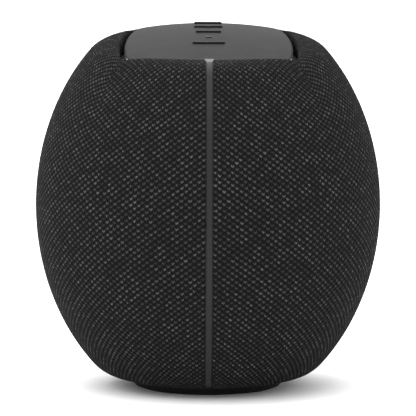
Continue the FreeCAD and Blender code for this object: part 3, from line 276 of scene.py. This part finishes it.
class Paint:
    """A node material in the making: short calls that add a node and return its output."""

    def __init__(self, name):
        self.material = bpy.data.materials.new(name)
        self.material.use_nodes = True
        self.tree = self.material.node_tree
        self.tree.nodes.clear()
        self.surface = self.tree.nodes.new("ShaderNodeBsdfPrincipled")
        output = self.tree.nodes.new("ShaderNodeOutputMaterial")
        self.tree.links.new(self.surface.outputs[0], output.inputs[0])
        coordinates = self.tree.nodes.new("ShaderNodeTexCoord")
        self.place = coordinates.outputs["Object"]
        self.uv = coordinates.outputs["UV"]

    def put(self, socket, value):
        if isinstance(value, bpy.types.NodeSocket):
            self.tree.links.new(value, socket)
        elif hasattr(value, "__len__") and len(value) == 3 and len(socket.default_value) == 4:
            socket.default_value = (*value, 1)
        else:
            socket.default_value = value

    def set(self, **values):
        for name, value in values.items():
            self.put(self.surface.inputs[name.replace("_", " ")], value)

    def math(self, operation, *values, clamp=False):
        node = self.tree.nodes.new("ShaderNodeMath")
        node.operation = operation
        node.use_clamp = clamp
        for socket, value in zip(node.inputs, values):
            self.put(socket, value)
        return node.outputs[0]

    def noise(self, size_mm, detail=3.0, roughness=0.55, stretch=None):
        place = self.place
        if stretch:
            mapping = self.tree.nodes.new("ShaderNodeMapping")
            mapping.inputs["Scale"].default_value = stretch
            self.put(mapping.inputs["Vector"], place)
            place = mapping.outputs[0]
        node = self.tree.nodes.new("ShaderNodeTexNoise")
        self.put(node.inputs["Vector"], place)
        node.inputs["Scale"].default_value = 1000 / size_mm
        node.inputs["Detail"].default_value = detail
        node.inputs["Roughness"].default_value = roughness
        return node.outputs["Fac"]

    def ramp(self, fac, *stops):
        node = self.tree.nodes.new("ShaderNodeValToRGB")
        while len(node.color_ramp.elements) < len(stops):
            node.color_ramp.elements.new(0.5)
        for element, (position, colour) in zip(node.color_ramp.elements, stops):
            element.position = position
            element.color = (*colour, 1)
        self.put(node.inputs[0], fac)
        return node.outputs[0]

    def spread(self, fac, low, high, from_low=0.0, from_high=1.0):
        node = self.tree.nodes.new("ShaderNodeMapRange")
        limits = {"From Min": from_low, "From Max": from_high, "To Min": low, "To Max": high}
        for name, value in limits.items():
            node.inputs[name].default_value = value
        self.put(node.inputs["Value"], fac)
        return node.outputs[0]

    def mix(self, fac, a, b, blend="MIX"):
        node = self.tree.nodes.new("ShaderNodeMix")
        node.data_type = "RGBA"
        node.blend_type = blend
        self.put(node.inputs[0], fac)
        self.put(node.inputs[6], a)
        self.put(node.inputs[7], b)
        return node.outputs[2]

    def bump(self, height, distance_mm, strength=1.0):
        node = self.tree.nodes.new("ShaderNodeBump")
        node.inputs["Strength"].default_value = strength
        node.inputs["Distance"].default_value = distance_mm * MM
        self.put(node.inputs["Height"], height)
        self.put(self.surface.inputs["Normal"], node.outputs[0])


def shade(colour, factor):
    """A colour made lighter or darker."""
    return tuple(min(1.0, c * factor) for c in colour)


def moulded(name, colour, roughness, grain=0.4, depth=0.02, contrast=0.15, metallic=0.0, detail=2.0,
            stretch=None, gloss=0.5):
    """A part with a fine grain: moulded plastic, rubber, cast or satin metal."""
    p = Paint(name)
    fine = p.noise(grain, detail, stretch=stretch)
    broad = p.noise(grain * 25, 3.0)
    both = p.math("ADD", p.math("MULTIPLY", fine, 0.6), p.math("MULTIPLY", broad, 0.4))
    p.set(Base_Color=p.ramp(both, (0.3, shade(colour, 1 - contrast)), (0.7, shade(colour, 1 + contrast))),
          Roughness=p.spread(both, roughness - 0.06, min(1.0, roughness + 0.06), 0.3, 0.7), Metallic=metallic,
          Specular_IOR_Level=gloss)
    p.bump(fine, depth)
    return p.material


def knit_material():
    """Dark yarn with paler flecks: each stitch gets its own brightness from its column, leg and row, and the
    colour falls to near black between the stitches as painted shade.
    """
    p = Paint("knit")
    separate = p.tree.nodes.new("ShaderNodeSeparateXYZ")
    p.put(separate.inputs[0], p.uv)
    u, v = separate.outputs[0], separate.outputs[1]
    column = p.math("FLOOR", u)
    in_column = p.math("FRACT", u)
    odd = p.math("MULTIPLY", p.math("MODULO", column, 2.0), 0.5)
    course = p.math("ADD", v, odd)
    row = p.math("FLOOR", p.math("ADD", course, 0.5))
    away = p.math("ABSOLUTE", p.math("SUBTRACT", p.math("FRACT", p.math("ADD", course, 0.5)), 0.5))
    leg = p.math("GREATER_THAN", in_column, 0.62)
    middle = p.math("ABSOLUTE", p.math("SUBTRACT", in_column, 0.5))
    yarn = p.math("SUBTRACT", 1.0, p.math("MULTIPLY", away, 3.6), clamp=True)
    yarn = p.math("MULTIPLY", yarn, p.spread(middle, 1.0, 0.15, 0.28, 0.5), clamp=True)
    cell = p.tree.nodes.new("ShaderNodeCombineXYZ")
    p.put(cell.inputs[0], p.math("ADD", p.math("MULTIPLY", column, 2.0), leg))
    p.put(cell.inputs[1], row)
    chance = p.tree.nodes.new("ShaderNodeTexWhiteNoise")
    chance.noise_dimensions = "2D"
    p.put(chance.inputs["Vector"], cell.outputs[0])
    chosen = p.math("POWER", chance.outputs["Value"], 1.6)
    patch = p.noise(11.0, 2.0)
    fibre = p.noise(0.35, 3.0, 0.7)
    strength = p.math("ADD", 0.36, p.math("MULTIPLY", chosen, p.spread(patch, 0.6, 0.95, 0.35, 0.65)))
    # Painted shade: the yarn mask darkens the colour to near black in the holes between stitches and at the
    # column edges.
    light = p.math("MULTIPLY", yarn, p.math("MULTIPLY", strength, p.spread(fibre, 0.55, 1.3, 0.3, 0.7)))
    p.set(Base_Color=p.ramp(light, (0.0, (0.004, 0.0039, 0.004)), (0.22, (0.0125, 0.0122, 0.0121)),
                            (0.62, (0.036, 0.0352, 0.0343)), (1.0, (0.095, 0.0925, 0.09))),
          Roughness=0.95, Specular_IOR_Level=0.08)
    p.bump(p.math("ADD", p.math("MULTIPLY", fibre, 0.4), yarn), 0.12)
    return p.material


def plate_material():
    """The control plate's fine matt grain."""
    p = Paint("plate_grain")
    fine = p.noise(0.55, 2.0, 0.6)
    broad = p.noise(14.0, 2.0)
    colour = p.ramp(p.math("ADD", p.math("MULTIPLY", fine, 0.7), p.math("MULTIPLY", broad, 0.3)),
                    (0.32, (0.010, 0.010, 0.0104)), (0.68, (0.021, 0.0204, 0.0202)))
    p.set(Base_Color=colour, Roughness=p.spread(fine, 0.5, 0.66, 0.3, 0.7), Specular_IOR_Level=0.1)
    p.bump(fine, 0.03)
    return p.material


def board_material(name, colour):
    """A circuit board: solder mask with fine copper tracks under it."""
    p = Paint(name)
    bricks = p.tree.nodes.new("ShaderNodeTexBrick")
    p.put(bricks.inputs["Vector"], p.place)
    bricks.inputs["Scale"].default_value = 160
    bricks.inputs["Mortar Size"].default_value = 0.035
    for socket, factor in (("Color1", 1.0), ("Color2", 0.8), ("Mortar", 1.9)):
        bricks.inputs[socket].default_value = (*shade(colour, factor), 1)
    p.set(Base_Color=bricks.outputs["Color"], Roughness=p.spread(p.noise(2.0), 0.3, 0.45))
    p.bump(bricks.outputs["Fac"], 0.03)
    return p.material


def woven_material(name, colour, pitch_mm, roughness=0.9):
    """A plain weave, for the spider and the tweeter's dome."""
    p = Paint(name)
    waves = []
    for direction in ("X", "Z"):
        wave = p.tree.nodes.new("ShaderNodeTexWave")
        wave.bands_direction = direction
        p.put(wave.inputs["Vector"], p.place)
        wave.inputs["Scale"].default_value = 1000 / (pitch_mm * 2 * math.pi)
        wave.inputs["Distortion"].default_value = 0.6
        waves.append(wave.outputs["Fac"])
    both = p.math("MULTIPLY", waves[0], waves[1])
    p.set(Base_Color=p.ramp(both, (0.1, shade(colour, 0.5)), (0.7, shade(colour, 1.1))), Roughness=roughness)
    p.bump(both, 0.1)
    return p.material


def wound_material(name, colour):
    """Fine copper turns along Y."""
    p = Paint(name)
    wave = p.tree.nodes.new("ShaderNodeTexWave")
    wave.bands_direction = "Y"
    p.put(wave.inputs["Vector"], p.place)
    wave.inputs["Scale"].default_value = 500
    p.set(Base_Color=p.ramp(wave.outputs["Fac"], (0.1, shade(colour, 0.45)), (0.6, colour)), Roughness=0.3,
          Metallic=0.9)
    p.bump(wave.outputs["Fac"], 0.08)
    return p.material


def cone_material(name, colour):
    """Pressed paper pulp with short fibres."""
    p = Paint(name)
    fibres = p.noise(1.6, 6.0, 0.75, stretch=(1, 3, 1))
    tones = (0.3, shade(colour, 0.6)), (0.62, shade(colour, 1.5)), (0.8, shade(colour, 3))
    p.set(Base_Color=p.ramp(fibres, *tones), Roughness=0.85)
    p.bump(fibres, 0.15)
    return p.material


def lens_material(name, colour, roughness):
    """A small unlit lens with a clear coat."""
    p = Paint(name)
    p.set(Base_Color=p.ramp(p.noise(3.0), (0.3, shade(colour, 0.9)), (0.7, colour)), Roughness=roughness,
          Coat_Weight=0.5)
    return p.material


def make_materials():
    return {
        "knit_fabric": knit_material(),
        "trim_silver": moulded("satin_silver", (0.15, 0.148, 0.143), 0.5, 0.3, 0.004, 0.04, 1.0),
        "spine_grey": moulded("satin_grey", (0.013, 0.013, 0.0134), 0.42, 0.25, 0.004, 0.06, gloss=0.15),
        "plate_grey": plate_material(),
        "key_black": moulded("key_black", (0.003, 0.003, 0.0035), 0.5, 0.3, 0.006, gloss=0.15),
        "lens_black": lens_material("lens_black", (0.006, 0.006, 0.008), 0.15),
        "lens_white": lens_material("lens_white", (0.75, 0.78, 0.8), 0.2),
        "frame_black": moulded("frame_black", (0.009, 0.009, 0.0095), 0.62, 0.5, 0.03, 0.2, gloss=0.2),
        "foot_rubber": moulded("foot_rubber", (0.007, 0.007, 0.0075), 0.8, 0.35, 0.03, 0.2, gloss=0.15),
        "membrane_rubber": moulded("membrane_rubber", (0.6, 0.6, 0.57), 0.6, 0.6, 0.02, 0.06),
        "board_green": board_material("solder_mask", (0.012, 0.12, 0.045)),
        "component_black": moulded("component_black", (0.025, 0.025, 0.026), 0.5, 0.4, 0.02, 0.2),
        "heat_sink_aluminium": moulded("extruded_aluminium", (0.62, 0.62, 0.64), 0.35, 0.5, 0.01, 0.08, 1.0,
                                       stretch=(1, 1, 0.05)),
        "cell_wrap": moulded("cell_wrap", (0.03, 0.22, 0.35), 0.28, 1.2, 0.02, 0.1),
        "screw_steel": moulded("screw_steel", (0.35, 0.35, 0.37), 0.35, 0.3, 0.01, 0.12, 1.0),
        "magnet_grey": moulded("magnet_grey", (0.06, 0.06, 0.063), 0.7, 0.5, 0.05, 0.3),
        "pole_steel": moulded("pole_steel", (0.5, 0.5, 0.52), 0.32, 0.5, 0.01, 0.1, 1.0),
        "basket_black": moulded("basket_black", (0.015, 0.015, 0.015), 0.42, 0.4, 0.02, 0.2),
        "cone_paper": cone_material("cone_paper", (0.02, 0.02, 0.021)),
        "surround_rubber": moulded("surround_rubber", (0.012, 0.012, 0.012), 0.55, 0.4, 0.01, 0.15),
        "spider_cloth": woven_material("spider_cloth", (0.55, 0.36, 0.1), 0.5),
        "coil_copper": wound_material("coil_copper", (0.72, 0.32, 0.15)),
        "dome_cloth": woven_material("dome_cloth", (0.03, 0.03, 0.034), 0.3, 0.7),
        "radiator_steel": moulded("radiator_steel", (0.35, 0.35, 0.37), 0.38, 0.5, 0.02, 0.12, 1.0),
        "gasket_foam": moulded("gasket_foam", (0.02, 0.02, 0.02), 0.95, 0.5, 0.12, 0.3, detail=5.0),
        "lead_red": moulded("lead_red", (0.3, 0.012, 0.012), 0.45, 0.5, 0.01),
        "ribbon_film": moulded("ribbon_film", (0.45, 0.22, 0.04), 0.25, 0.6, 0.01, 0.2,
                               stretch=(1, 0.02, 0.02)),
        "port_shell": moulded("port_shell", (0.5, 0.5, 0.51), 0.3, 0.4, 0.01, 0.1, 1.0),
    }


# ---- Put together ---------------------------------------------------------------------------------

materials = make_materials()
node_slots = {entry["node"]: entry["material_slot"] for entry in frame["record"]["subparts"]}
for node_name, node in frame["nodes"].items():
    node.data.materials.clear()
    node.data.materials.append(materials[node_slots[node_name]])

# The cover's two halves, each put in place of the CAD's fabric half, which is hidden.
for side_name, sign in (("left", -1), ("right", 1)):
    cover = make_knit(f"knit_{side_name}", sign)
    cover.data.materials.append(materials["knit_fabric"])
    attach(cover, "speaker")
    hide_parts(f"fabric_{side_name}")


# ---- Floor, light and camera ----------------------------------------------------------------------

FLOOR_RADIUS = 9
WORLD_STRENGTH = 1.35
LIT_POINT = (0, 0, 0.1)


def make_floor():
    """A plain pale disc under the speaker."""
    mesh = bpy.data.meshes.new("floor")
    bearings = np.linspace(0, 2 * math.pi, 96, endpoint=False)
    corners = [(math.cos(a) * FLOOR_RADIUS, math.sin(a) * FLOOR_RADIUS, 0) for a in bearings]
    mesh.from_pydata(corners, [], [list(range(len(corners)))])
    floor = bpy.data.objects.new("floor", mesh)
    bpy.context.scene.collection.objects.link(floor)
    p = Paint("floor_white")
    p.set(Base_Color=(0.94, 0.94, 0.94), Roughness=0.9)
    mesh.materials.append(p.material)


def add_light(name, place, target, size, power):
    """A rectangular studio light that faces the target."""
    data = bpy.data.lights.new(name, "AREA")
    data.shape = "RECTANGLE"
    data.size, data.size_y = size
    data.energy = power
    light = bpy.data.objects.new(name, data)
    light.location = place
    light.rotation_euler = (Vector(target) - Vector(place)).to_track_quat("-Z", "Y").to_euler()
    bpy.context.scene.collection.objects.link(light)


def make_lights():
    """An even white surround, a wide light overhead and a weak one at each front side."""
    world = bpy.data.worlds.new("studio")
    world.use_nodes = True
    world.node_tree.nodes["Background"].inputs["Color"].default_value = (1, 1, 1, 1)
    world.node_tree.nodes["Background"].inputs["Strength"].default_value = WORLD_STRENGTH
    bpy.context.scene.world = world
    add_light("overhead", (-0.2, 0.1, 1.6), LIT_POINT, (2.4, 2.4), 45)
    add_light("key_left", (-1.3, -1.1, 1.3), LIT_POINT, (0.7, 0.9), 6)
    add_light("fill_right", (1.5, -1.1, 0.9), LIT_POINT, (0.7, 0.9), 3)


CAMERA_ELEVATION = math.radians(8.0)
CAMERA_TURN = math.radians(-0.5)
CAMERA_DISTANCE = 9.0
CAMERA_ROLL = math.radians(0.2)
VIEW_WIDTH = 0.2193
AIM = Vector((0, 0, 0.0943))


def make_camera():
    """A long lens from far away, slightly above the speaker's middle."""
    data = bpy.data.cameras.new("camera")
    data.sensor_width = 36
    data.lens = data.sensor_width * CAMERA_DISTANCE / VIEW_WIDTH
    data.clip_end = 60
    camera = bpy.data.objects.new("camera", data)
    flat = Vector((math.sin(CAMERA_TURN), -math.cos(CAMERA_TURN), 0)) * math.cos(CAMERA_ELEVATION)
    way = flat + Vector((0, 0, math.sin(CAMERA_ELEVATION)))
    look = (-way).to_track_quat("-Z", "Y").to_matrix().to_4x4()
    place = Matrix.Translation(AIM + way * CAMERA_DISTANCE)
    camera.matrix_world = place @ look @ Matrix.Rotation(CAMERA_ROLL, 4, "Z")
    bpy.context.scene.collection.objects.link(camera)
    bpy.context.scene.camera = camera


make_floor()
make_lights()
make_camera()
bpy.context.scene.view_settings.view_transform = "Standard"
